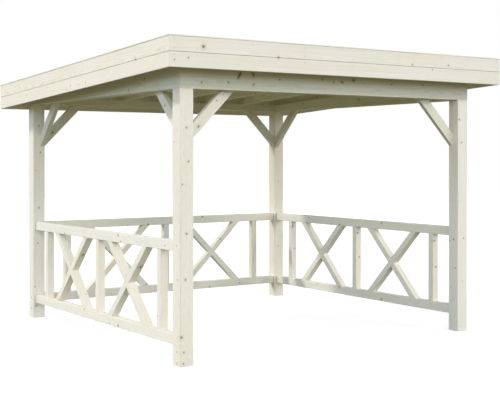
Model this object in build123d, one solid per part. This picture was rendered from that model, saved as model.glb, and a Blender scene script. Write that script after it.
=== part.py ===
"""Open garden gazebo: four posts, a mitred beam frame and a flat roof that falls to the back."""
from build123d import *
import os

# Footprint and posts, in millimetres
footprint_x = 3070          # outside of post to outside of post, along the open front
footprint_y = 3070          # the same from front to back
post_width = 120
post_height = 2141
post_arris = 4              # planed-off corner of the posts

# Beam frame on the posts: its top is planed to the fall of the roof
back_beam_height = 63       # at the back face, where the frame is lowest
roof_fall = 0.0506          # drop for each unit of length towards the back

# Roof
side_overhang = 209         # from the posts' outer faces to the fascia's outer face
front_overhang = 205
back_overhang = 237
rafter_count = 7
rafter_width = 45
rafter_depth = 120
rafter_edge_inset = 35      # centre of the outermost common rafter, in from the posts' outer face
deck_thickness = 18
covering_thickness = 6
fascia_thickness = 20
fascia_drop = 89            # how far the fascia hangs below the rafters
fascia_groove = 2           # shadow line between the two boards of a fascia
cap_thickness = 9
cap_width = 60
cap_projection = 4          # past the fascia's face

# Knee braces between posts and beams
brace_width = 84
brace_thickness = 42
brace_inset = 3             # from the inner faces of the posts and beams
brace_reach = 421           # down the post to the brace's lower edge

# Railing panels on the left, back and right sides
rail_height = 82
rail_thickness = 70
bottom_rail_z = 151         # underside of the bottom rail
top_rail_z = 962            # top of the top rail
upright_width = 64
upright_gap = 236           # from a post to the nearest upright
bar_thickness = 66          # uprights and crossed bars, through the panel
cross_width = 58
rail_arris = 3
bar_arris = 2

half_x = footprint_x / 2
centre_y = (front_overhang - back_overhang) / 2
front_y = centre_y - footprint_y / 2
back_y = centre_y + footprint_y / 2
roof_half_x = half_x + side_overhang
roof_front_y = front_y - front_overhang
roof_back_y = back_y + back_overhang
deck_half_x = roof_half_x - fascia_thickness
deck_front_y = roof_front_y + fascia_thickness
deck_back_y = roof_back_y - fascia_thickness
fascia_top = rafter_depth + deck_thickness + covering_thickness
fascia_board_height = (fascia_top + fascia_drop - fascia_groove) / 2
root_two = 2 ** 0.5


def seat_height(y):
    """Underside of the rafters at a distance y from the roof's middle."""
    return post_height + back_beam_height + roof_fall * (back_y - y)


def prism_x(points, x_low, x_high):
    """An outline in Y and Z, drawn along X."""
    return Pos(x_low, 0, 0) * extrude(Plane.YZ * Polygon(*points, align=None), amount=x_high - x_low)


def sloped_slab(low, high, half_width, y_low, y_high):
    """A slab parallel to the roof, between two heights over the rafters' underside."""
    outline = [
        (y_low, seat_height(y_low) + low),
        (y_high, seat_height(y_high) + low),
        (y_high, seat_height(y_high) + high),
        (y_low, seat_height(y_low) + high),
    ]
    return prism_x(outline, -half_width, half_width)


def mitred_plans(half_width, y_low, y_high, width):
    """Plans of the four sides of a rectangular frame, mitred at its corners."""
    outer = [(-half_width, y_low), (half_width, y_low), (half_width, y_high), (-half_width, y_high)]
    inner = [
        (-half_width + width, y_low + width),
        (half_width - width, y_low + width),
        (half_width - width, y_high - width),
        (-half_width + width, y_high - width),
    ]
    plans = {}
    for index, side in enumerate(("front", "right", "back", "left")):
        following = (index + 1) % 4
        plans[side] = [outer[index], outer[following], inner[following], inner[index]]
    return plans


def plan_column(points):
    """A plan drawn up through the whole height of the roof."""
    return extrude(Polygon(*points, align=None), amount=2 * post_height)


def export_piece(name, shape):
    export_step(shape, f"parts/{name}.step")


def make_posts():
    post = extrude(Rectangle(post_width, post_width), amount=post_height)
    post = chamfer(post.edges().filter_by(Axis.Z), post_arris)
    for depth, y in (("front", front_y + post_width / 2), ("back", back_y - post_width / 2)):
        for side, sign in (("left", -1), ("right", 1)):
            export_piece(f"post_{depth}_{side}", Pos(sign * (half_x - post_width / 2), y, 0) * post)


def make_beams():
    """A level underside on the posts, a top that follows the rafters, mitred corners."""
    outline = [
        (front_y, post_height),
        (back_y, post_height),
        (back_y, seat_height(back_y)),
        (front_y, seat_height(front_y)),
    ]
    wedge = prism_x(outline, -half_x, half_x)
    for side, plan in mitred_plans(half_x, front_y, back_y, post_width).items():
        export_piece(f"beam_{side}", plan_column(plan) & wedge)


def make_braces():
    """Two braces at each post, cut plumb on the post and level under the beam."""
    rise = brace_width * root_two
    outline = [(0, -brace_reach), (brace_reach, 0), (brace_reach - rise, 0), (0, -brace_reach + rise)]
    flat = extrude(Plane.XZ * Polygon(*outline, align=None), amount=brace_thickness / 2, both=True)
    inner_x = half_x - post_width
    middle = brace_inset + brace_thickness / 2
    for depth, y_inner, turn in (("front", front_y + post_width, 1), ("back", back_y - post_width, -1)):
        for side, sign in (("left", -1), ("right", 1)):
            across = Rot(0, 0, 0 if sign < 0 else 180) * flat
            along = Rot(0, 0, 90 * turn) * flat
            across_place = Pos(sign * inner_x, y_inner - turn * middle, post_height)
            along_place = Pos(sign * (inner_x + middle), y_inner, post_height)
            export_piece(f"brace_{depth}_{side}_across", across_place * across)
            export_piece(f"brace_{depth}_{side}_along", along_place * along)


def make_rafters():
    """Common rafters over the beams, and a verge rafter behind each side fascia."""
    outermost = half_x - rafter_edge_inset
    spacing = 2 * outermost / (rafter_count - 1)
    places = [-outermost + index * spacing for index in range(rafter_count)]
    verge = deck_half_x - rafter_width / 2
    rafter = sloped_slab(0, rafter_depth, rafter_width / 2, deck_front_y, deck_back_y)
    solids = [Pos(x, 0, 0) * rafter for x in [-verge, *places, verge]]
    export_piece("rafters", Compound(children=solids))


def make_roof():
    deck_low = rafter_depth
    deck_high = rafter_depth + deck_thickness
    export_piece("roof_boards", sloped_slab(deck_low, deck_high, deck_half_x, deck_front_y, deck_back_y))
    covering = sloped_slab(deck_high, deck_high + covering_thickness, deck_half_x, deck_front_y, deck_back_y)
    export_piece("roof_covering", covering)


def make_fascias():
    """Two boards one over the other on each side, with a strip over the roof's edge."""
    lower = sloped_slab(-fascia_drop, -fascia_drop + fascia_board_height,
                        roof_half_x, roof_front_y, roof_back_y)
    upper = sloped_slab(fascia_top - fascia_board_height, fascia_top,
                        roof_half_x, roof_front_y, roof_back_y)
    for side, plan in mitred_plans(roof_half_x, roof_front_y, roof_back_y, fascia_thickness).items():
        column = plan_column(plan)
        boards = [column & lower, column & upper]
        export_piece(f"fascia_{side}", Compound(children=[board.solid() for board in boards]))


def make_caps():
    half_width = roof_half_x + cap_projection
    y_low = roof_front_y - cap_projection
    y_high = roof_back_y + cap_projection
    strip = sloped_slab(fascia_top, fascia_top + cap_thickness, half_width, y_low, y_high)
    for side, plan in mitred_plans(half_width, y_low, y_high, cap_width).items():
        export_piece(f"cap_{side}", plan_column(plan) & strip)


def panel_place(side):
    """Turns a panel piece from its own frame (along X, inwards along Y) to its side."""
    if side == "left":
        return Pos(-half_x, centre_y, 0) * Rot(0, 0, -90)
    if side == "right":
        return Pos(half_x, centre_y, 0) * Rot(0, 0, 90)
    return Pos(0, back_y, 0) * Rot(0, 0, 180)


def cross_bars(middle, low, high):
    """Two bars at 45 degrees from rail to rail, half-lapped where they cross."""
    run = (high - low) / 2
    half_cut = cross_width * root_two / 2
    depth_low = (post_width - bar_thickness) / 2
    bars = []
    for lean in (1, -1):
        outline = [
            (middle - lean * run - half_cut, low),
            (middle - lean * run + half_cut, low),
            (middle + lean * run + half_cut, high),
            (middle + lean * run - half_cut, high),
        ]
        face = Plane.XZ * Polygon(*outline, align=None)
        bars.append(Pos(0, depth_low, 0) * extrude(face, amount=-bar_thickness))
    rising, falling = bars
    lap = rising & falling
    outer_half = Pos(middle, post_width / 2 - bar_thickness / 4, (low + high) / 2) * Box(
        4 * cross_width, bar_thickness / 2, 4 * cross_width)
    return rising - (lap - outer_half), falling - (lap & outer_half)


def make_panel(side, span, ends):
    """Rails between two posts, three uprights, and a crossed pair of bars in each bay."""
    place = panel_place(side)
    low = bottom_rail_z + rail_height
    high = top_rail_z - rail_height
    rail = Box(span, rail_thickness, rail_height)
    rail = chamfer(rail.edges().filter_by(Axis.X), rail_arris)
    middle_depth = post_width / 2
    export_piece(f"{side}_rail_top", place * Pos(0, middle_depth, top_rail_z - rail_height / 2) * rail)
    export_piece(f"{side}_rail_bottom", place * Pos(0, middle_depth, bottom_rail_z + rail_height / 2) * rail)

    upright = Box(upright_width, bar_thickness, high - low)
    upright = chamfer(upright.edges().filter_by(Axis.Z), bar_arris)
    outer = span / 2 - upright_gap - upright_width / 2
    for name, x in ((ends[0], -outer), ("middle", 0), (ends[1], outer)):
        export_piece(f"{side}_upright_{name}", place * Pos(x, middle_depth, (low + high) / 2) * upright)

    for name, x in ((ends[0], -outer / 2), (ends[1], outer / 2)):
        rising, falling = cross_bars(x, low, high)
        export_piece(f"{side}_cross_{name}_a", place * rising)
        export_piece(f"{side}_cross_{name}_b", place * falling)


os.makedirs("parts", exist_ok=True)
make_posts()
make_beams()
make_braces()
make_rafters()
make_roof()
make_fascias()
make_caps()
side_span = footprint_y - 2 * post_width
back_span = footprint_x - 2 * post_width
make_panel("left", side_span, ("back", "front"))
make_panel("right", side_span, ("front", "back"))
make_panel("back", back_span, ("right", "left"))
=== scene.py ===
import math

import bmesh
import bpy
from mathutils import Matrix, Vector


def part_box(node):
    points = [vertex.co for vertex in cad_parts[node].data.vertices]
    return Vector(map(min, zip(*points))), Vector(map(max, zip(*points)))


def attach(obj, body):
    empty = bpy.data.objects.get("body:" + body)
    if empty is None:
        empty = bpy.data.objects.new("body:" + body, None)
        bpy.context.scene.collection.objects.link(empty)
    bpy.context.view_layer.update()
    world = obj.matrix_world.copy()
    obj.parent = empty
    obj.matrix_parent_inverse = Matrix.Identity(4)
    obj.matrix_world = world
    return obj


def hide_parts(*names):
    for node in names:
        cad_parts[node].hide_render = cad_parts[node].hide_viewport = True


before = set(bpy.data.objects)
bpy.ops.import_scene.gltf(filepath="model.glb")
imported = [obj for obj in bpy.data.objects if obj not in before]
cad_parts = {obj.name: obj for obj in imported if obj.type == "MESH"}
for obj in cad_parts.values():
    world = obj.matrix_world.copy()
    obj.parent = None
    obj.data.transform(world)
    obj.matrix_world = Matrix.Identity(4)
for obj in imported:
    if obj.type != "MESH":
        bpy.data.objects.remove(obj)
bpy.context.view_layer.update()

scene = bpy.context.scene
print("frame loaded,", len(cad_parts), "CAD nodes")


# Helpers for node trees, shader and geometry alike

def connect(tree, node, inputs):
    # a socket is linked, anything else is set on the input
    for socket, value in inputs.items():
        if isinstance(value, bpy.types.NodeSocket):
            tree.links.new(value, node.inputs[socket])
        else:
            node.inputs[socket].default_value = value
    return node


def addNode(tree, kind, inputs=None, **settings):
    node = tree.nodes.new(kind)
    for key, value in settings.items():
        setattr(node, key, value)
    return connect(tree, node, inputs or {})


def addGroup(tree, group, inputs):
    kind = tree.bl_idname.replace("Tree", "Group")
    return connect(tree, addNode(tree, kind, node_tree=group), inputs).outputs


def newTree(name, kind, inputs, outputs):
    tree = bpy.data.node_groups.new(name, kind)
    for label, socketType, default in inputs:
        socket = tree.interface.new_socket(name=label, in_out="INPUT", socket_type=socketType)
        if default is not None:
            socket.default_value = default
    for label, socketType in outputs:
        tree.interface.new_socket(name=label, in_out="OUTPUT", socket_type=socketType)
    return tree, tree.nodes.new("NodeGroupInput").outputs, tree.nodes.new("NodeGroupOutput").inputs


def calc(tree, operation, *values):
    node = addNode(tree, "ShaderNodeMath", dict(enumerate(values)), operation=operation)
    return node.outputs[0]


def plus(tree, first, second):
    return calc(tree, "ADD", first, second)


def minus(tree, first, second):
    return calc(tree, "SUBTRACT", first, second)


def times(tree, first, second):
    return calc(tree, "MULTIPLY", first, second)


def over(tree, first, second):
    return calc(tree, "DIVIDE", first, second)


def vectorCalc(tree, operation, *values):
    node = addNode(tree, "ShaderNodeVectorMath", dict(enumerate(values)), operation=operation)
    return node.outputs["Value" if operation in ("LENGTH", "DOT_PRODUCT") else "Vector"]


def longer(tree, vector, factor):
    node = addNode(tree, "ShaderNodeVectorMath", {0: vector, "Scale": factor}, operation="SCALE")
    return node.outputs[0]


def stretched(tree, vector, factors):
    return vectorCalc(tree, "MULTIPLY", vector, factors)


def splitVector(tree, vector):
    return addNode(tree, "ShaderNodeSeparateXYZ", {0: vector}).outputs


def joinVector(tree, **axes):
    return addNode(tree, "ShaderNodeCombineXYZ", axes).outputs[0]


def splitColour(tree, colour):
    return addNode(tree, "ShaderNodeSeparateColor", {0: colour}).outputs


def mixColour(tree, factor, first, second):
    node = addNode(tree, "ShaderNodeMix", {0: factor, 6: first, 7: second}, data_type="RGBA")
    return node.outputs[2]


def fade(tree, value, start, end, fromValue=0.0, toValue=1.0):
    # smooth change of a value between two limits
    inputs = {"Value": value, "From Min": start, "From Max": end,
              "To Min": fromValue, "To Max": toValue}
    node = addNode(tree, "ShaderNodeMapRange", inputs, interpolation_type="SMOOTHSTEP")
    return node.outputs["Result"]


def noise(tree, vector, scale, detail=2.0, roughness=0.5, output="Fac"):
    inputs = {"Vector": vector, "Scale": scale, "Detail": detail, "Roughness": roughness}
    return addNode(tree, "ShaderNodeTexNoise", inputs).outputs[output]


def newMaterial(name):
    material = bpy.data.materials.new(name)
    material.use_nodes = True
    tree = material.node_tree
    tree.nodes.clear()
    shader = tree.nodes.new("ShaderNodeBsdfPrincipled")
    output = tree.nodes.new("ShaderNodeOutputMaterial")
    tree.links.new(shader.outputs[0], output.inputs["Surface"])
    return material, tree, shader.inputs


# Sawn timber: rings round a pith, fibres along X, knots that grow out from the pith

sawing = {
    "ringSpacing": 0.004,
    "ringLate": (0.25, 0.88),        # part of a ring over which it darkens
    "ringEnd": (0.9, 1.0),           # and over which it turns pale again
    "ringVariety": 45.0,             # how soon strong rings follow weak ones
    "ringStrength": (0.3, 0.7, 0.45, 1.0),
    "wander": 0.05,                  # how far the pith strays
    "wanderPace": (0.9, 0, 0),
    "ripple": 0.009,                 # how far the rings stray
    "ripplePace": (2.2, 14, 14),
    "fibres": (7, 420, 420),         # patterns to the metre, along and across the log
    "streaks": (1.3, 52, 52),
    "tones": (1.9, 6.5, 6.5),
    "flecks": (18, 120, 120),
    "fibreRelief": 0.6,
    "ringRelief": 0.35,
    "knotRelief": 0.15,
}

grownKnots = {
    "perMetre": 2.6,
    "perRadian": 2.4,
    "scatter": 0.95,
    "chance": (0.55, 1.0, 0.03, 1.0),    # few of them reach the full size
    "squareOn": (0.55, 0.8),         # a knot shows only where a face cuts it across
    "least": 0.00005,
    "unevenScale": 260.0,
    "uneven": 0.5,
    "core": (0.55, 1.15, 1.0, 0.0),  # in knot radii
    "rim": (0.9, 3.2, 1.0, 0.0),
    "bendReach": 4.5,                # rings bend round a knot
    "bend": 0.007,
}


def makeSawnTimber():
    tree, given, result = newTree(
        "sawnTimber", "ShaderNodeTree",
        [("Vector", "NodeSocketVector", None),
         ("Facing", "NodeSocketVector", (0.0, 0.0, 1.0)),
         ("Pith", "NodeSocketVector", (0.0, 0.03, -0.05)),
         ("Seed", "NodeSocketFloat", 0.0),
         ("Ring Spacing", "NodeSocketFloat", 0.004),
         ("Knot Size", "NodeSocketFloat", 0.008),
         ("Placed Knots", "NodeSocketFloat", 9.0)],
        [("Late Wood", "NodeSocketFloat"), ("Fibres", "NodeSocketFloat"),
         ("Streaks", "NodeSocketFloat"), ("Tone", "NodeSocketColor"),
         ("Flecks", "NodeSocketFloat"), ("Knot", "NodeSocketFloat"),
         ("Knot Rim", "NodeSocketFloat"), ("Height", "NodeSocketFloat")])
    link = tree.links.new
    along = vectorCalc(tree, "ADD", given["Vector"], joinVector(tree, X=given["Seed"]))
    # the pith wanders a little along the log
    wander = noise(tree, stretched(tree, along, sawing["wanderPace"]), 1.0, 1.0, output="Color")
    wander = vectorCalc(tree, "SUBTRACT", wander, (0.5, 0.5, 0.5))
    fromPith = vectorCalc(tree, "SUBTRACT", given["Vector"], given["Pith"])
    fromPith = vectorCalc(tree, "ADD", fromPith,
                          stretched(tree, wander, (0, sawing["wander"], sawing["wander"])))
    local = splitVector(tree, fromPith)
    radius = calc(tree, "SQRT", plus(tree, times(tree, local["Y"], local["Y"]),
                                     times(tree, local["Z"], local["Z"])))
    angle = calc(tree, "ARCTAN2", local["Z"], local["Y"])
    # grown knots: cells in the plane of length and angle round the pith
    place = joinVector(tree, X=times(tree, splitVector(tree, along)["X"], grownKnots["perMetre"]),
                       Y=times(tree, angle, grownKnots["perRadian"]))
    cells = addNode(tree, "ShaderNodeTexVoronoi",
                    {"Vector": place, "Scale": 1.0, "Randomness": grownKnots["scatter"]},
                    voronoi_dimensions="2D").outputs
    offset = splitVector(tree, vectorCalc(tree, "SUBTRACT", place, cells["Position"]))
    lengthways = over(tree, offset["X"], grownKnots["perMetre"])
    around = times(tree, over(tree, offset["Y"], grownKnots["perRadian"]), radius)
    distance = calc(tree, "SQRT", plus(tree, times(tree, lengthways, lengthways),
                                       times(tree, around, around)))
    chance = splitColour(tree, cells["Color"])["Red"]
    radial = stretched(tree, fromPith, (0, 1, 1))
    squareOn = calc(tree, "ABSOLUTE", vectorCalc(tree, "DOT_PRODUCT", radial, given["Facing"]))
    squareOn = over(tree, squareOn, radius)
    grown = times(tree, fade(tree, chance, *grownKnots["chance"]), given["Knot Size"])
    grown = times(tree, grown, fade(tree, squareOn, *grownKnots["squareOn"]))
    reach = over(tree, distance, calc(tree, "MAXIMUM", grown, grownKnots["least"]))
    reach = calc(tree, "MINIMUM", reach, given["Placed Knots"])
    uneven = minus(tree, noise(tree, given["Vector"], grownKnots["unevenScale"], 1.0), 0.5)
    uneven = plus(tree, reach, times(tree, uneven, grownKnots["uneven"]))
    knot = fade(tree, uneven, *grownKnots["core"])
    rim = fade(tree, uneven, *grownKnots["rim"])
    # rings, bent round the knots and rippled
    bend = times(tree, fade(tree, reach, 0.0, grownKnots["bendReach"], 1.0, 0.0),
                 grownKnots["bend"])
    ripple = minus(tree, noise(tree, stretched(tree, along, sawing["ripplePace"]), 1.0), 0.5)
    grain = plus(tree, plus(tree, radius, bend), times(tree, ripple, sawing["ripple"]))
    ring = calc(tree, "FRACT", over(tree, grain, given["Ring Spacing"]))
    late = times(tree, fade(tree, ring, *sawing["ringLate"]),
                 fade(tree, ring, *sawing["ringEnd"], 1.0, 0.0))
    ringPlace = joinVector(tree, X=times(tree, grain, sawing["ringVariety"]), Y=given["Seed"])
    variety = fade(tree, noise(tree, ringPlace, 1.0, 2.0), *sawing["ringStrength"])
    fibres = noise(tree, stretched(tree, along, sawing["fibres"]), 1.0, 2.0, 0.6)
    link(times(tree, late, variety), result["Late Wood"])
    link(fibres, result["Fibres"])
    link(noise(tree, stretched(tree, along, sawing["streaks"]), 1.0, 3.0, 0.6), result["Streaks"])
    link(noise(tree, stretched(tree, along, sawing["tones"]), 1.0, 2.0, output="Color"),
         result["Tone"])
    link(noise(tree, stretched(tree, along, sawing["flecks"]), 1.0, 3.0, 0.6), result["Flecks"])
    link(knot, result["Knot"])
    link(rim, result["Knot Rim"])
    height = plus(tree, times(tree, fibres, sawing["fibreRelief"]),
                  times(tree, late, sawing["ringRelief"]))
    link(minus(tree, height, times(tree, rim, sawing["knotRelief"])), result["Height"])
    return tree


timberLook = {
    "Early Wood Colour": (0.80, 0.77, 0.70, 1),
    "Late Wood Colour": (0.70, 0.61, 0.45, 1),
    "Rosy Colour": (0.80, 0.745, 0.66, 1),
    "Green Colour": (0.77, 0.765, 0.65, 1),
    "Fleck Colour": (0.58, 0.53, 0.46, 1),
    "Knot Colour": (0.20, 0.125, 0.065, 1),
    "Rim Colour": (0.60, 0.49, 0.32, 1),
    "End Grain Colour": (0.62, 0.52, 0.36, 1),
}

# how each pattern comes into the colour: from where to where it shows, and how strongly
colouring = {
    "tones": (0.45, 0.75),
    "lateWood": (0.3, 0.7, 0.25, 0.75),
    "streaks": (0.5, 0.85, 0.0, 0.45),
    "fibres": (0.55, 0.85, 0.0, 0.16),
    "flecks": (0.5, 0.75),
    "endGrain": 0.75,
    "rim": 0.5,
    "knot": 0.92,
    "roughness": (0.3, 0.7, 0.78, 0.92),
    "knotPolish": 0.18,
}


def makeTimberColours():
    tree, given, result = newTree(
        "timberColours", "ShaderNodeTree",
        [("Late Wood", "NodeSocketFloat", 0.0), ("Fibres", "NodeSocketFloat", 0.5),
         ("Streaks", "NodeSocketFloat", 0.5), ("Tone", "NodeSocketColor", None),
         ("Flecks", "NodeSocketFloat", 0.5), ("Fleck Strength", "NodeSocketFloat", 0.3),
         ("Knot", "NodeSocketFloat", 0.0), ("Knot Rim", "NodeSocketFloat", 0.0),
         ("End Grain", "NodeSocketFloat", 0.0), ("Contrast", "NodeSocketFloat", 1.0),
         *[(label, "NodeSocketColor", None) for label in timberLook]],
        [("Colour", "NodeSocketColor"), ("Roughness", "NodeSocketFloat")])
    strength = given["Contrast"]
    lateColour = given["Late Wood Colour"]
    tone = splitColour(tree, given["Tone"])
    rosy = times(tree, fade(tree, tone["Red"], *colouring["tones"]), strength)
    green = times(tree, fade(tree, tone["Green"], *colouring["tones"]), strength)
    late = times(tree, given["Late Wood"], fade(tree, given["Streaks"], *colouring["lateWood"]))
    streak = times(tree, fade(tree, given["Streaks"], *colouring["streaks"]), strength)
    fleck = times(tree, fade(tree, given["Flecks"], *colouring["flecks"]), given["Fleck Strength"])
    colour = given["Early Wood Colour"]
    for amount, layer in (
            (rosy, given["Rosy Colour"]),
            (green, given["Green Colour"]),
            (times(tree, late, strength), lateColour),
            (streak, lateColour),
            (fade(tree, given["Fibres"], *colouring["fibres"]), lateColour),
            (fleck, given["Fleck Colour"]),
            (times(tree, given["End Grain"], colouring["endGrain"]), given["End Grain Colour"]),
            (times(tree, given["Knot Rim"], colouring["rim"]), given["Rim Colour"]),
            (times(tree, given["Knot"], colouring["knot"]), given["Knot Colour"])):
        colour = mixColour(tree, amount, colour, layer)
    tree.links.new(colour, result["Colour"])
    rough = fade(tree, given["Fibres"], *colouring["roughness"])
    polish = times(tree, given["Knot"], colouring["knotPolish"])
    tree.links.new(minus(tree, rough, polish), result["Roughness"])
    return tree


def makePlacedKnot():
    # distance from a knot's own line through the board, in knot radii
    tree, given, result = newTree(
        "placedKnot", "ShaderNodeTree",
        [("Vector", "NodeSocketVector", None),
         ("Place", "NodeSocketVector", (0.0, 0.0, 0.0)),
         ("Through", "NodeSocketVector", (0.0, 0.0, 1.0)),
         ("Radius", "NodeSocketFloat", 0.008),
         ("Depth", "NodeSocketFloat", 0.03)],
        [("Reach", "NodeSocketFloat")])
    offset = vectorCalc(tree, "SUBTRACT", given["Vector"], given["Place"])
    depth = vectorCalc(tree, "DOT_PRODUCT", offset, given["Through"])
    onLine = longer(tree, given["Through"], depth)
    sideways = vectorCalc(tree, "LENGTH", vectorCalc(tree, "SUBTRACT", offset, onLine))
    beyond = minus(tree, calc(tree, "ABSOLUTE", depth), given["Depth"])
    beyond = calc(tree, "MAXIMUM", beyond, 0.0)
    tree.links.new(over(tree, plus(tree, sideways, beyond), given["Radius"]), result["Reach"])
    return tree


# how far apart in the log two boards of a row may come from, in metres
boardVariety = {"along": 40.0, "across": 0.09, "deep": -0.05}


def makeBoardSplit():
    # folds a row of boards onto one, and gives each its own place in the log
    tree, given, result = newTree(
        "boardSplit", "ShaderNodeTree",
        [("Vector", "NodeSocketVector", None), ("Pitch", "NodeSocketFloat", 0.1),
         ("Seed", "NodeSocketFloat", 0.0)],
        [("Vector", "NodeSocketVector")])
    local = splitVector(tree, given["Vector"])
    index = calc(tree, "FLOOR", over(tree, local["Y"], given["Pitch"]))
    chance = addNode(tree, "ShaderNodeTexWhiteNoise",
                     {"Vector": joinVector(tree, X=index, Y=given["Seed"])}).outputs["Color"]
    spread = splitColour(tree, chance)
    middle = times(tree, plus(tree, index, 0.5), given["Pitch"])
    across = times(tree, minus(tree, spread["Green"], 0.5), boardVariety["across"])
    x = plus(tree, local["X"], times(tree, spread["Red"], boardVariety["along"]))
    y = plus(tree, minus(tree, local["Y"], middle), across)
    z = plus(tree, local["Z"], times(tree, spread["Blue"], boardVariety["deep"]))
    tree.links.new(joinVector(tree, X=x, Y=y, Z=z), result["Vector"])
    return tree


sawnTimber = makeSawnTimber()
timberColours = makeTimberColours()
placedKnot = makePlacedKnot()
boardSplit = makeBoardSplit()

timberSurface = {
    "specular": 0.02,                # sawn timber is matt
    "bump": 0.35,
    "bumpDistance": 0.0008,
    "endGrain": (0.8, 0.95),         # how squarely a face has to cut the fibres
}

# colour contrast, strength of the flecks, and size of the knots that grow where none are placed
characters = {
    "fascia": (1.0, 0.12, 0.0012),
    "beam": (1.25, 0.4, 0.005),
    "beam_front": (1.25, 0.4, 0.001),
    "post": (0.6, 0.38, 0.0045),
    "post_front_left": (0.6, 0.38, 0.001),
    "rafters": (1.7, 0.4, 0.010),
    "roof_boards": (1.8, 0.25, 0.012),
    "plain": (0.9, 0.3, 0.006),
}


def timberMaterial(name, character, grain, centre, pith, seed, knots=(), pitch=None,
                   tint=(1.0, 1.0, 1.0)):
    # grain is the direction of the fibres; the pattern is turned so that it runs along X
    material, tree, shader = newMaterial(name)
    contrast, flecks, knotSize = characters[character]
    coordinates = tree.nodes.new("ShaderNodeTexCoord").outputs
    turn = Vector(grain).normalized().rotation_difference(Vector((1, 0, 0))).to_euler()
    centred = vectorCalc(tree, "SUBTRACT", coordinates["Object"], tuple(centre))
    vector = addNode(tree, "ShaderNodeMapping", {"Vector": centred, "Rotation": turn}).outputs[0]
    facing = addNode(tree, "ShaderNodeMapping",
                     {"Vector": coordinates["Normal"], "Rotation": turn},
                     vector_type="NORMAL").outputs[0]
    if pitch:
        vector = addGroup(tree, boardSplit,
                          {"Vector": vector, "Pitch": pitch, "Seed": seed})["Vector"]
    inputs = {"Vector": vector, "Facing": facing, "Pith": pith, "Seed": seed,
              "Ring Spacing": sawing["ringSpacing"], "Knot Size": knotSize}
    for place, through, radius in knots:
        reach = addGroup(tree, placedKnot, {
            "Vector": coordinates["Object"], "Place": place, "Through": through,
            "Radius": radius})["Reach"]
        if "Placed Knots" in inputs:
            reach = calc(tree, "MINIMUM", inputs["Placed Knots"], reach)
        inputs["Placed Knots"] = reach
    wood = addGroup(tree, sawnTimber, inputs)
    across = calc(tree, "ABSOLUTE", splitVector(tree, facing)["X"])
    inputs = {label: wood[label] for label in (
        "Late Wood", "Fibres", "Streaks", "Tone", "Flecks", "Knot", "Knot Rim")}
    inputs.update({"Contrast": contrast, "Fleck Strength": flecks,
                   "End Grain": fade(tree, across, *timberSurface["endGrain"])})
    # the timber's colours, times the piece's own tone and its painted light and shade
    for label, colour in timberLook.items():
        inputs[label] = (*(c * t for c, t in zip(colour, tint)), 1)
    finish = addGroup(tree, timberColours, inputs)
    bump = addNode(tree, "ShaderNodeBump", {
        "Strength": timberSurface["bump"], "Distance": timberSurface["bumpDistance"],
        "Height": wood["Height"]})
    tree.links.new(finish["Colour"], shader["Base Color"])
    tree.links.new(finish["Roughness"], shader["Roughness"])
    tree.links.new(bump.outputs[0], shader["Normal"])
    shader["Specular IOR Level"].default_value = timberSurface["specular"]
    return material


# The timbers of the CAD model

roofFall = 0.0506                    # drop for each metre towards the back
rafterPlaces = {"spacing": 0.5, "outermost": 1.5, "verge": 1.7}

# place of the heart of the log from the middle of the piece, once its fibres lie along X
hearts = {
    "fascia": (0.0, 0.085, 0.03),
    "cap": (0.0, 0.015, -0.08),
    "rafters": (0.0, 0.09, 0.035),
    "beam": (0.0, 0.09, -0.05),
    "post": (0.0, -0.075, 0.085),
}

# other pieces are cut at this distance from the heart, each on another side of it
otherHearts = {"distance": 0.075, "turn": 2.399}

# painted light and shade: factors on a piece's colours that darken one lying in shade, such as the
# beams under the eaves and the braces, and lighten or warm one lying in light, such as the back
# right post
paintedLightAndShade = {
    "beam_front": (0.89, 0.877, 0.817),
    "beam_left": (0.88, 0.91, 0.92),
    "beam_right": (1.01, 1.04, 1.01),
    "rafters": (1.01, 1.03, 1.0),
    "post_back_right": (1.07, 1.03, 0.965),
    "back_rail_top": (1.0, 0.975, 0.925),
    "back_upright_right": (0.985, 0.965, 0.93),
    "back_cross_left_b": (1.0, 0.975, 0.93),
    "brace_back_left_along": (0.91, 0.93, 0.92),
    "fascia_front": (1.0, 0.993, 0.985),
    "brace_front_left_across": (0.92, 0.92, 0.91),
    "brace_front_right_across": (0.93, 0.93, 0.92),
}

# each timber a little warmer or cooler, lighter or darker than the next
pieceSpread = {
    "warmth": 0.035,
    "warmthStep": 0.618,
    "shade": 0.03,
    "shadeStep": 0.755,
    "seedStep": 3.7,                 # from one piece's log to the next
}


# a piece's own random tone, times the painted light and shade listed for it
def pieceToneAndPaintedLight(number, name):
    warmth = pieceSpread["warmth"] * ((number * pieceSpread["warmthStep"]) % 1 - 0.5)
    shade = 1 + pieceSpread["shade"] * ((number * pieceSpread["shadeStep"]) % 1 - 0.5)
    red, green, blue = paintedLightAndShade.get(name, (1.0, 1.0, 1.0))
    return red * shade * (1 + warmth / 2), green * shade, blue * shade * (1 - warmth)


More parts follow.
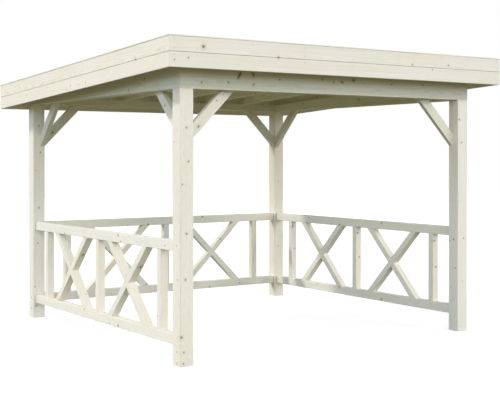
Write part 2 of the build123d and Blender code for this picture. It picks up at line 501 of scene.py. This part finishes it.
# knots that show from the front and the left: the plane they lie in, then for each its place
# along the piece and its height in metres, and its radius in millimetres
knotDirections = {"front": (0, 1, 0), "left": (1, 0, 0)}
placedKnots = {
    "fascia_front": [
        ("front", -1.756, [
            (-1.448, 2.445, 13), (-1.579, 2.355, 6), (-1.698, 2.334, 5), (-0.758, 2.399, 9),
            (0.662, 2.415, 6), (1.092, 2.427, 7), (0.898, 2.382, 5)])],
    "fascia_left": [
        ("left", -1.744, [
            (1.231, 2.292, 5), (0.416, 2.292, 5), (0.532, 2.253, 4), (1.049, 2.205, 4),
            (0.016, 2.242, 5), (0.103, 2.211, 5), (-0.153, 2.241, 4), (-0.297, 2.25, 5),
            (-1.221, 2.374, 8)])],
    "beam_front": [
        ("front", -1.551, [
            (-0.984, 2.276, 10), (-0.992, 2.262, 12), (-1.0, 2.248, 10), (-1.008, 2.236, 7),
            (-0.862, 2.282, 10), (-0.857, 2.266, 9), (-1.343, 2.191, 7), (-1.095, 2.201, 7),
            (-0.858, 2.194, 8), (-0.603, 2.245, 7), (-0.162, 2.263, 7), (-0.045, 2.243, 6),
            (0.04, 2.249, 8), (0.056, 2.245, 8), (0.173, 2.269, 10), (0.603, 2.251, 7),
            (0.971, 2.256, 6)])],
    "beam_right": [
        ("left", 1.415, [
            (0.988, 2.263, 10), (0.85, 2.205, 7), (0.582, 2.259, 8), (-0.12, 2.21, 8)])],
    "beam_left": [
        ("left", -1.535, [(-0.974, 2.25, 7), (-0.69, 2.168, 7), (-0.049, 2.13, 6)])],
    "post_front_left": [
        ("front", -1.551, [
            (-1.477, 1.84, 7), (-1.46, 1.579, 7), (-1.513, 1.403, 5), (-1.521, 0.229, 9),
            (-1.478, 1.023, 7), (-1.487, 0.669, 7), (-1.502, 0.112, 6), (-1.506, 0.026, 6)]),
        ("left", -1.535, [
            (-1.503, 0.112, 5), (-1.502, 0.025, 5), (-1.511, 0.669, 5), (-1.494, 0.93, 4),
            (-1.46, 1.73, 4)])],
    "post_back_left": [
        ("front", 1.399, [
            (-1.477, 1.925, 6), (-1.46, 1.661, 6), (-1.505, 1.478, 4), (-1.477, 1.103, 7),
            (-1.488, 0.749, 6), (-1.52, 0.312, 6), (-1.503, 0.119, 7)]),
        ("left", -1.535, [(1.456, 0.198, 6), (1.456, 0.092, 6)])],
    "post_front_right": [
        ("front", -1.551, [(1.432, 1.96, 7), (1.46, 1.748, 7), (1.49, 0.86, 6)]),
        ("left", 1.415, [
            (-1.441, 0.834, 6), (-1.499, 0.849, 7), (-1.519, 0.585, 5), (-1.461, 0.404, 4)])],
    "post_back_right": [("left", 1.415, [(1.43, 0.113, 7)])],
    "brace_front_left_across": [("front", -1.476, [(-1.325, 1.852, 9), (-1.16, 2.06, 6)])],
    "brace_front_left_along": [("left", -1.46, [(-1.172, 2.025, 7)])],
    "brace_back_left_across": [("front", 1.402, [(-1.329, 1.862, 10)])],
    "left_rail_top": [("left", -1.51, [(-0.441, 0.944, 9), (0.247, 0.881, 7)])],
    "left_rail_bottom": [("left", -1.51, [(0.243, 0.229, 8), (-0.443, 0.170, 9)])],
    "left_cross_back_a": [("front", 0.364, [(-1.469, 0.709, 9)])],
    "left_cross_front_a": [("front", -0.773, [(-1.466, 0.699, 10)])],
    "right_rail_top": [("left", 1.44, [(-0.452, 0.947, 9), (0.229, 0.889, 9)])],
    "right_rail_bottom": [("left", 1.44, [(0.228, 0.230, 9), (-0.453, 0.170, 9)])],
    "right_upright_back": [("front", 1.099, [(1.455, 0.82, 9), (1.479, 0.573, 7)])],
    "right_upright_middle": [("front", -0.048, [(1.46, 0.818, 9), (1.483, 0.565, 8)])],
    "right_upright_front": [("front", -1.195, [(1.459, 0.813, 8), (1.479, 0.563, 8)])],
    "back_rail_top": [("front", 1.424, [(-0.229, 0.888, 9), (0.453, 0.95, 9)])],
    "back_cross_right_b": [("front", 1.426, [(0.683, 0.692, 8)])],
}


def knotsOf(name):
    knots = []
    for side, depth, rows in placedKnots.get(name, []):
        for along, z, radius in rows:
            place = (along, depth, z) if side == "front" else (depth, along, z)
            knots.append((place, knotDirections[side], radius / 1000))
    return knots


def grainDirection(name, low, high, node):
    size = high - low
    if name == "rafters":
        return Vector((0, 1, -roofFall))
    if name.startswith("brace") or "_cross_" in name:
        axis = 0 if size.x > size.y else 1
        middle = (low + high) / 2
        lean = sum((v.co[axis] - middle[axis]) * (v.co.z - middle.z) for v in node.data.vertices)
        direction = Vector((0, 0, 1))
        direction[axis] = 1 if lean > 0 else -1
        return direction
    longest = max(range(3), key=lambda i: size[i])
    direction = Vector((0, 0, 0))
    direction[longest] = 1
    if longest == 1 and name.split("_")[0] in ("fascia", "cap"):
        direction.z = -roofFall
    return direction


easedEdges = {
    "plain": 0.0015,
    "fascia": 0.003,
    "beam": 0.0025,
    "segments": 2,
    "angle": math.radians(30),
    "weld": 0.0001,
}


def finishTimber(number, name, node):
    low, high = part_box(name)
    family = name.split("_")[0]
    swing = number * otherHearts["turn"]
    heart = hearts.get(family, (0.0, otherHearts["distance"] * math.cos(swing),
                                otherHearts["distance"] * math.sin(swing)))
    if number % 2:
        heart = (heart[0], -heart[1], heart[2])
    character = next(key for key in (name, family, "plain") if key in characters)
    material = timberMaterial(
        "timber_" + name, character, grainDirection(name, low, high, node), (low + high) / 2,
        heart, number * pieceSpread["seedStep"], knots=knotsOf(name),
        pitch=rafterPlaces["spacing"] if name == "rafters" else None, tint=pieceToneAndPaintedLight(number, name))
    node.data.materials.clear()
    node.data.materials.append(material)
    for polygon in node.data.polygons:
        polygon.material_index = 0
    weld = node.modifiers.new("weld", "WELD")
    weld.merge_threshold = easedEdges["weld"]
    bevel = node.modifiers.new("easedEdges", "BEVEL")
    bevel.width = easedEdges.get(family, easedEdges["plain"])
    bevel.segments = easedEdges["segments"]
    bevel.limit_method = "ANGLE"
    bevel.angle_limit = easedEdges["angle"]


for number, (name, node) in enumerate(sorted(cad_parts.items())):
    if name not in ("roof_covering", "roof_boards"):
        finishTimber(number, name, node)
print("timbers finished")


# Roof boards, laid across the rafters

def runTree(name, tree, values, points=(), directions=()):
    # a tree's result as a plain mesh object at the origin
    seedMesh = bpy.data.meshes.new(name + "_points")
    seedMesh.from_pydata([tuple(p) for p in points], [], [])
    if directions:
        facing = seedMesh.attributes.new("facing", "FLOAT_VECTOR", "POINT")
        facing.data.foreach_set("vector", [c for direction in directions for c in direction])
    carrier = bpy.data.objects.new(name + "_carrier", seedMesh)
    scene.collection.objects.link(carrier)
    modifier = carrier.modifiers.new(name, "NODES")
    modifier.node_group = tree
    for item in tree.interface.items_tree:
        if item.item_type == "SOCKET" and item.in_out == "INPUT" and item.name in values:
            modifier[item.identifier] = values[item.name]
    evaluated = carrier.evaluated_get(bpy.context.evaluated_depsgraph_get())
    mesh = bpy.data.meshes.new_from_object(evaluated)
    mesh.name = name
    piece = bpy.data.objects.new(name, mesh)
    scene.collection.objects.link(piece)
    bpy.data.objects.remove(carrier)
    return piece


roofBoards = {
    "pitch": 0.0965,
    "gap": 0.0012,
    "thickness": 0.018,
    "joint": 0.004,                  # V of the joint, on both faces
    "endClearance": 0.001,
    "merge": 0.0001,
    "heartDepth": 0.06,              # of the log, over the boards
    "seed": 11.3,
}


def makeBoardRow():
    tree, given, result = newTree(
        "boardRow", "GeometryNodeTree",
        [("Geometry", "NodeSocketGeometry", None), ("Count", "NodeSocketInt", 10),
         ("Pitch", "NodeSocketFloat", 0.1), ("Width", "NodeSocketFloat", 0.09),
         ("Thickness", "NodeSocketFloat", 0.018), ("Length", "NodeSocketFloat", 1.0),
         ("Joint", "NodeSocketFloat", 0.003), ("Fall", "NodeSocketFloat", 0.0),
         ("First", "NodeSocketVector", (0.0, 0.0, 0.0)),
         ("Material", "NodeSocketMaterial", None)],
        [("Geometry", "NodeSocketGeometry")])
    drop = times(tree, times(tree, given["Pitch"], given["Fall"]), -1.0)
    step = joinVector(tree, Y=given["Pitch"], Z=drop)
    places = addNode(tree, "GeometryNodeMeshLine", {
        "Count": given["Count"], "Start Location": given["First"], "Offset": step}, mode="OFFSET")
    # a board's section lies in XY and is extruded up Z
    section = addNode(tree, "GeometryNodeCurvePrimitiveQuadrilateral",
                      {"Width": given["Width"], "Height": given["Thickness"]}).outputs[0]
    section = addNode(tree, "GeometryNodeFilletCurve", {
        "Curve": section, "Radius": given["Joint"], "Count": 1}, mode="POLY").outputs[0]
    face = addNode(tree, "GeometryNodeFillCurve", {"Curve": section}, mode="NGONS").outputs[0]
    walls = addNode(tree, "GeometryNodeExtrudeMesh", {
        "Mesh": face, "Offset Scale": given["Length"], "Individual": False},
        mode="FACES").outputs[0]
    foot = addNode(tree, "GeometryNodeFlipFaces", {"Mesh": face}).outputs[0]
    both = addNode(tree, "GeometryNodeJoinGeometry")
    tree.links.new(walls, both.inputs[0])
    tree.links.new(foot, both.inputs[0])
    board = addNode(tree, "GeometryNodeMergeByDistance", {
        "Geometry": both.outputs[0], "Distance": roofBoards["merge"]}).outputs[0]
    # centred, laid along X, and leaned to the roof's fall
    lean = times(tree, calc(tree, "ARCTANGENT", given["Fall"]), -1.0)
    for move in ({"Translation": joinVector(tree, Z=times(tree, given["Length"], -0.5))},
                 {"Rotation": (math.pi / 2, 0, math.pi / 2)},
                 {"Rotation": joinVector(tree, X=lean)}):
        board = addNode(tree, "GeometryNodeTransform", {"Geometry": board, **move}).outputs[0]
    row = addNode(tree, "GeometryNodeInstanceOnPoints", {
        "Points": places.outputs[0], "Instance": board}).outputs[0]
    real = addNode(tree, "GeometryNodeRealizeInstances", {"Geometry": row}).outputs[0]
    coated = addNode(tree, "GeometryNodeSetMaterial", {
        "Geometry": real, "Material": given["Material"]}).outputs[0]
    tree.links.new(coated, result["Geometry"])
    return tree


deckLow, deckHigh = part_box("roof_boards")
deckLength = deckHigh.x - deckLow.x - 2 * roofBoards["endClearance"]
deckDepth = deckHigh.y - deckLow.y
boardCount = round(deckDepth / roofBoards["pitch"])
boardPitch = deckDepth / boardCount
deckFrontTop = deckHigh.z                       # the deck's highest edge is at the front
firstBoard = Vector((0, deckLow.y + boardPitch / 2,
                     deckFrontTop - roofBoards["thickness"] / 2 - roofFall * boardPitch / 2))
deckMaterial = timberMaterial(
    "timber_roof_boards", "roof_boards", (1, 0, 0), (0, deckLow.y, firstBoard.z),
    (0.0, 0.0, roofBoards["heartDepth"]), roofBoards["seed"], pitch=boardPitch)
deck = runTree("roof_boarding", makeBoardRow(), {
    "Count": boardCount, "Pitch": boardPitch, "Width": boardPitch - roofBoards["gap"],
    "Thickness": roofBoards["thickness"], "Length": deckLength, "Joint": roofBoards["joint"],
    "Fall": roofFall, "First": firstBoard, "Material": deckMaterial})
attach(deck, "root")
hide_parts("roof_boards")
print("roof boards laid:", boardCount)


# Roof felt: mineral-faced sheets, lapped towards the fall

felt = {
    "sheets": 4,
    "lap": 0.08,
    "thickness": 0.0028,
    "lift": 1.05,                    # of a lap, in thicknesses
    "ramp": 0.03,                    # over which a sheet comes down from the one below it
    "endClearance": 0.001,
    "bleed": 0.012,                  # how far bitumen runs out of a lap
    "runPace": 9.0,                  # how often it runs further out
    "granules": 620.0,               # to the metre
    "paleShare": (0.9, 0.94, 0.0, 0.6),
    "cloudScale": 7.0,
    "cloudWear": (0.35, 0.8, 0.0, 0.30),
    "sheetWear": 0.12,               # from one sheet to the next
    "roughness": (0.8, 0.95),
    "bitumenPolish": 0.4,
    "darkGranule": (0.045, 0.05, 0.052, 1),
    "greyGranule": (0.155, 0.165, 0.165, 1),
    "paleGranule": (0.30, 0.30, 0.29, 1),
    "worn": (0.19, 0.19, 0.18, 1),
    "bitumen": (0.022, 0.022, 0.023, 1),
    "bump": 0.6,
    "bumpDistance": 0.0012,
}


def feltMaterial(low, pitch):
    # mineral granules, a tone for each sheet, and bitumen that has run out at the laps
    material, tree, shader = newMaterial("mineral_felt")
    vector = tree.nodes.new("ShaderNodeTexCoord").outputs["Object"]
    grains = addNode(tree, "ShaderNodeTexVoronoi",
                     {"Vector": vector, "Scale": felt["granules"]}).outputs
    chance = splitColour(tree, grains["Color"])
    grey = chance["Red"]
    colour = mixColour(tree, grey, felt["darkGranule"], felt["greyGranule"])
    pale = fade(tree, chance["Green"], *felt["paleShare"])
    colour = mixColour(tree, pale, colour, felt["paleGranule"])
    along = over(tree, minus(tree, splitVector(tree, vector)["Y"], low), pitch)
    sheet = addNode(tree, "ShaderNodeTexWhiteNoise", {"W": calc(tree, "FLOOR", along)},
                    noise_dimensions="1D").outputs["Value"]
    clouds = noise(tree, vector, felt["cloudScale"], 4.0, 0.65)
    worn = plus(tree, fade(tree, clouds, *felt["cloudWear"]), times(tree, sheet, felt["sheetWear"]))
    colour = mixColour(tree, worn, colour, felt["worn"])
    # a thin uneven line of bitumen just past the edge of each lap
    pastLap = minus(tree, calc(tree, "FRACT", along), felt["lap"] / pitch)
    pastLap = times(tree, pastLap, pitch)
    run = fade(tree, noise(tree, vector, felt["runPace"], 3.0), 0.3, 0.8)
    run = times(tree, run, felt["bleed"])
    bitumen = times(tree, calc(tree, "GREATER_THAN", pastLap, 0.0),
                    calc(tree, "LESS_THAN", pastLap, run))
    colour = mixColour(tree, bitumen, colour, felt["bitumen"])
    rough = minus(tree, fade(tree, grey, 0.0, 1.0, *felt["roughness"]),
                  times(tree, bitumen, felt["bitumenPolish"]))
    height = times(tree, grains["Distance"], minus(tree, 1.0, bitumen))
    bump = addNode(tree, "ShaderNodeBump", {
        "Strength": felt["bump"], "Distance": felt["bumpDistance"], "Height": height})
    tree.links.new(colour, shader["Base Color"])
    tree.links.new(rough, shader["Roughness"])
    tree.links.new(bump.outputs[0], shader["Normal"])
    return material


def makeFelt():
    low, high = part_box("roof_covering")
    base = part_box("roof_boards")[1].z
    pitch = (high.y - low.y) / felt["sheets"]

    def surface(y):
        return base - roofFall * (y - low.y)

    bm = bmesh.new()
    for index in range(felt["sheets"]):
        start = low.y + index * pitch
        if index < felt["sheets"] - 1:
            # the lower edge, towards the back, lies on the next sheet down
            end = start + pitch + felt["lap"]
            lift = felt["thickness"] * felt["lift"]
            profile = [(start, 0.0), (end - felt["lap"] - felt["ramp"], 0.0),
                       (end - felt["lap"], lift), (end, lift)]
        else:
            profile = [(start, 0.0), (start + pitch, 0.0)]
        outline = [(y, surface(y) + lift + felt["thickness"]) for y, lift in profile]
        outline += [(y, surface(y) + lift) for y, lift in reversed(profile)]
        near, far = [
            [bm.verts.new((x, y, z)) for y, z in outline]
            for x in (low.x + felt["endClearance"], high.x - felt["endClearance"])]
        for i in range(len(outline)):
            j = (i + 1) % len(outline)
            bm.faces.new((near[i], near[j], far[j], far[i]))
        bm.faces.new(near)
        bm.faces.new(list(reversed(far)))
    bmesh.ops.recalc_face_normals(bm, faces=bm.faces)
    mesh = bpy.data.meshes.new("roof_felt")
    bm.to_mesh(mesh)
    bm.free()
    piece = bpy.data.objects.new("roof_felt", mesh)
    scene.collection.objects.link(piece)
    mesh.materials.append(feltMaterial(low.y, pitch))
    return piece


roofFelt = makeFelt()
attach(roofFelt, "root")
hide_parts("roof_covering")
print("felt laid")


# Screws: countersunk, with a six-lobed recess

screws = {
    "headRadius": 0.0042,
    "headHeight": 0.0012,
    "headSides": 20,
    "recessRadius": 0.0021,
    "recessLobes": 6,
    "recessWaist": 0.72,             # of the recess's radius
    "proud": 0.0002,                 # how far a head stands out of the timber
    "fasciaEdge": 0.025,             # from a board's long edge
    "sideRows": 8,                   # along a side fascia
    "sideInset": 0.07,
    "capSpacing": 0.42,
    "capInset": 0.03,
    "braceEdge": 0.030,              # from the end of a brace, on the post or under the beam
    "bracePair": (0.062, 0.098),     # and from its corner
    "darkZinc": (0.42, 0.42, 0.40, 1),
    "brightZinc": (0.62, 0.61, 0.57, 1),
    "zincClouds": 900.0,             # to the metre
    "roughness": (0.32, 0.5),
}


def makeScrewRow():
    tree, given, result = newTree(
        "screwRow", "GeometryNodeTree",
        [("Geometry", "NodeSocketGeometry", None), ("Head Radius", "NodeSocketFloat", 0.004),
         ("Recess Radius", "NodeSocketFloat", 0.002), ("Head Height", "NodeSocketFloat", 0.001),
         ("Proud", "NodeSocketFloat", 0.0002), ("Material", "NodeSocketMaterial", None)],
        [("Geometry", "NodeSocketGeometry")])
    rim = addNode(tree, "GeometryNodeCurvePrimitiveCircle", {
        "Resolution": screws["headSides"], "Radius": given["Head Radius"]}, mode="RADIUS")
    lobes = addNode(tree, "GeometryNodeCurveStar", {
        "Points": screws["recessLobes"], "Outer Radius": given["Recess Radius"],
        "Inner Radius": times(tree, given["Recess Radius"], screws["recessWaist"])})
    both = addNode(tree, "GeometryNodeJoinGeometry")
    tree.links.new(rim.outputs[0], both.inputs[0])
    tree.links.new(lobes.outputs[0], both.inputs[0])
    ringFace = addNode(tree, "GeometryNodeFillCurve", {"Curve": both.outputs[0]},
                       mode="TRIANGLES")
    head = addNode(tree, "GeometryNodeExtrudeMesh", {
        "Mesh": ringFace.outputs[0], "Offset Scale": given["Head Height"],
        "Individual": False}, mode="FACES")
    recess = addNode(tree, "GeometryNodeFillCurve", {"Curve": lobes.outputs[0]},
                     mode="TRIANGLES")
    whole = addNode(tree, "GeometryNodeJoinGeometry")
    tree.links.new(head.outputs[0], whole.inputs[0])
    tree.links.new(recess.outputs[0], whole.inputs[0])
    down = minus(tree, given["Proud"], given["Head Height"])
    sunk = addNode(tree, "GeometryNodeTransform", {
        "Geometry": whole.outputs[0], "Translation": joinVector(tree, Z=down)})
    facing = addNode(tree, "GeometryNodeInputNamedAttribute", {"Name": "facing"},
                     data_type="FLOAT_VECTOR")
    aim = addNode(tree, "FunctionNodeAlignRotationToVector", {"Vector": facing.outputs[0]},
                  axis="Z")
    row = addNode(tree, "GeometryNodeInstanceOnPoints", {
        "Points": given["Geometry"], "Instance": sunk.outputs[0], "Rotation": aim.outputs[0]})
    real = addNode(tree, "GeometryNodeRealizeInstances", {"Geometry": row.outputs[0]})
    coated = addNode(tree, "GeometryNodeSetMaterial", {
        "Geometry": real.outputs[0], "Material": given["Material"]})
    tree.links.new(coated.outputs[0], result["Geometry"])
    return tree


def screwMaterial():
    material, tree, shader = newMaterial("zinc_screws")
    vector = tree.nodes.new("ShaderNodeTexCoord").outputs["Object"]
    cloud = noise(tree, vector, screws["zincClouds"])
    tree.links.new(mixColour(tree, cloud, screws["darkZinc"], screws["brightZinc"]),
                   shader["Base Color"])
    tree.links.new(fade(tree, cloud, 0.2, 0.8, *screws["roughness"]), shader["Roughness"])
    shader["Metallic"].default_value = 1.0
    return material


def fasciaScrews():
    low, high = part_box("fascia_front")
    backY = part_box("fascia_back")[1].y
    frontY = low.y
    height = high.z - low.z - roofFall * (high.y - low.y)

    def heights(y):
        # two rows in the upper board and one at the top of the lower
        top = high.z - roofFall * (y - frontY)
        middle = top - height / 2
        edge = screws["fasciaEdge"]
        return [top - edge, middle + edge, middle - edge]

    verge, outermost = rafterPlaces["verge"], rafterPlaces["outermost"]
    spacing = rafterPlaces["spacing"]
    common = [-outermost + spacing * i for i in range(round(2 * outermost / spacing) + 1)]
    rows = []
    for x in [-verge, *common, verge]:
        rows += [((x, frontY, z), (0, -1, 0)) for z in heights(frontY)]
        rows += [((x, backY, z), (0, 1, 0)) for z in heights(backY)]
    inset = screws["sideInset"]
    for step in range(screws["sideRows"]):
        y = frontY + inset + step * (backY - frontY - 2 * inset) / (screws["sideRows"] - 1)
        rows += [((-high.x, y, z), (-1, 0, 0)) for z in heights(y)]
        rows += [((high.x, y, z), (1, 0, 0)) for z in heights(y)]
    return rows


def capScrews():
    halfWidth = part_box("fascia_front")[1].x
    frontY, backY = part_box("fascia_front")[0].y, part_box("fascia_back")[1].y
    low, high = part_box("cap_front")
    inset = screws["capInset"]
    count = round(2 * halfWidth / screws["capSpacing"])
    rows = []
    for step in range(count + 1):
        along = -halfWidth + inset + step * (2 * halfWidth - 2 * inset) / count
        sideY = along * (backY - frontY) / (2 * halfWidth) + (frontY + backY) / 2
        for x, y in ((along, frontY + inset), (along, backY - inset),
                     (-halfWidth + inset, sideY), (halfWidth - inset, sideY)):
            rows.append(((x, y, high.z - roofFall * (y - low.y)), (0, roofFall, 1)))
    return rows


def braceScrews():
    # two at each end, in the face that looks outwards
    rows = []
    for name in sorted(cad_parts):
        if not name.startswith("brace"):
            continue
        low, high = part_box(name)
        axis = 0 if high.x - low.x > high.y - low.y else 1
        face = 1 - axis
        length = high[axis] - low[axis]
        outward = -1 if (low[face] + high[face]) / 2 < 0 else 1
        depth = low[face] if outward < 0 else high[face]
        postEnd = low[axis] if (low[axis] + high[axis]) / 2 < 0 else high[axis]
        away = 1 if postEnd < 0 else -1
        edge = screws["braceEdge"]
        places = [(edge, low.z + corner) for corner in screws["bracePair"]]
        places += [(length - corner, high.z - edge) for corner in screws["bracePair"]]
        for along, z in places:
            point = [0, 0, z]
            point[axis] = postEnd + away * along
            point[face] = depth
            direction = [0, 0, 0]
            direction[face] = outward
            rows.append((tuple(point), tuple(direction)))
    return rows


screwRows = fasciaScrews() + capScrews() + braceScrews()
screwPiece = runTree("screw_heads", makeScrewRow(), {
    "Head Radius": screws["headRadius"], "Recess Radius": screws["recessRadius"],
    "Head Height": screws["headHeight"], "Proud": screws["proud"], "Material": screwMaterial()},
    points=[place for place, direction in screwRows],
    directions=[direction for place, direction in screwRows])
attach(screwPiece, "root")
print("screws set:", len(screwRows))


# Camera, floor, lamps and sky

cameraSet = {
    "eye": (-5.478, -8.448, 1.614),
    "turn": (89.513, 0.0, -33.853),
    "lens": 74.58,
    "sensor": 36.0,
    "shift": (-0.0083, -0.0685),
    "farthest": 200.0,
}
camera = bpy.data.objects.new("camera", bpy.data.cameras.new("camera"))
scene.collection.objects.link(camera)
camera.location = cameraSet["eye"]
camera.rotation_euler = [math.radians(a) for a in cameraSet["turn"]]
camera.data.lens = cameraSet["lens"]
camera.data.sensor_width = cameraSet["sensor"]
camera.data.shift_x, camera.data.shift_y = cameraSet["shift"]
camera.data.clip_end = cameraSet["farthest"]
scene.camera = camera

fillColour = (1.0, 0.857, 0.635)
lamps = {
    "keyBackLeft": {
        "towards": (-0.866, 0.735, 1.0), "strength": 2.09, "colour": (1.0, 0.943, 0.885),
        "spread": 3.5},
    "fillFrontLeft": {
        "towards": (-0.862, -1.44, 1.0), "strength": 0.645, "colour": fillColour,
        "spread": 14.0},
    "fillFrontRight": {
        "towards": (0.862, -1.44, 1.0), "strength": 0.77, "colour": fillColour,
        "spread": 14.0},
}
for name, lamp in lamps.items():
    light = bpy.data.lights.new(name, "SUN")
    light.energy = lamp["strength"]
    light.color = lamp["colour"]
    light.angle = math.radians(lamp["spread"])
    lightObject = bpy.data.objects.new(name, light)
    scene.collection.objects.link(lightObject)
    lightObject.rotation_euler = Vector(lamp["towards"]).to_track_quat("Z", "Y").to_euler()


def seenDirectly(tree):
    # one for what the camera sees, straight or in a mirror or through glass
    ray = tree.nodes.new("ShaderNodeLightPath").outputs
    seen = calc(tree, "MAXIMUM", ray["Is Camera Ray"], ray["Is Glossy Ray"])
    return calc(tree, "MAXIMUM", seen, ray["Is Transmission Ray"])


floorSet = {
    "size": 60.0,
    "bounce": (0.215, 0.213, 0.114, 1),   # what it throws back at the timber
    "shown": (0.44, 0.43, 0.41, 1),
    "glow": 0.73,
}


def makeFloor():
    half = floorSet["size"] / 2
    mesh = bpy.data.meshes.new("floor")
    mesh.from_pydata([(-half, -half, 0), (half, -half, 0), (half, half, 0), (-half, half, 0)],
                     [], [(0, 1, 2, 3)])
    floor = bpy.data.objects.new("floor", mesh)
    scene.collection.objects.link(floor)
    material = bpy.data.materials.new("pale_floor")
    material.use_nodes = True
    tree = material.node_tree
    tree.nodes.clear()
    bounce = addNode(tree, "ShaderNodeBsdfDiffuse", {"Color": floorSet["bounce"]}).outputs[0]
    shown = addNode(tree, "ShaderNodeBsdfDiffuse", {"Color": floorSet["shown"]}).outputs[0]
    glow = addNode(tree, "ShaderNodeEmission", {"Strength": floorSet["glow"]}).outputs[0]
    bright = addNode(tree, "ShaderNodeAddShader", {0: shown, 1: glow}).outputs[0]
    mixed = addNode(tree, "ShaderNodeMixShader", {0: seenDirectly(tree), 1: bounce, 2: bright})
    output = tree.nodes.new("ShaderNodeOutputMaterial")
    tree.links.new(mixed.outputs[0], output.inputs["Surface"])
    mesh.materials.append(material)


makeFloor()

skySet = {
    "zenith": (0.10, 0.11, 0.125, 1),
    "band": (4.25, 4.92, 6.15, 1),        # above the horizon, fading upwards
    "bandFall": 3.0,
    "lean": (0.06, -0.15, 0.0),           # brighter towards the front
    "horizon": (1.10, 1.08, 0.72, 1),
    "horizonTop": 0.22,                   # sine of the height where the band begins
    "below": (0.19, 0.18, 0.11, 1),
    "belowEdge": 0.02,
    "seen": (1, 1, 1, 1),
}


def makeSky():
    world = bpy.data.worlds.new("studio")
    scene.world = world
    world.use_nodes = True
    tree = world.node_tree
    tree.nodes.clear()
    direction = tree.nodes.new("ShaderNodeTexCoord").outputs["Generated"]
    height = splitVector(tree, direction)["Z"]
    upwards = fade(tree, height, 0.0, skySet["horizonTop"])
    bright = mixColour(tree, upwards, skySet["horizon"], skySet["band"])
    away = minus(tree, 1.0, calc(tree, "MAXIMUM", height, 0.0))
    colour = mixColour(tree, calc(tree, "POWER", away, skySet["bandFall"]),
                       skySet["zenith"], bright)
    lean = plus(tree, vectorCalc(tree, "DOT_PRODUCT", direction, skySet["lean"]), 1.0)
    below = fade(tree, height, -skySet["belowEdge"], 0.0, 1.0, 0.0)
    colour = mixColour(tree, below, longer(tree, colour, lean), skySet["below"])
    soft = addNode(tree, "ShaderNodeBackground", {"Color": colour}).outputs[0]
    white = addNode(tree, "ShaderNodeBackground", {"Color": skySet["seen"]}).outputs[0]
    mixed = addNode(tree, "ShaderNodeMixShader", {0: seenDirectly(tree), 1: soft, 2: white})
    output = tree.nodes.new("ShaderNodeOutputWorld")
    tree.links.new(mixed.outputs[0], output.inputs["Surface"])


makeSky()
scene.view_settings.view_transform = "Standard"
print("camera, floor and light set")
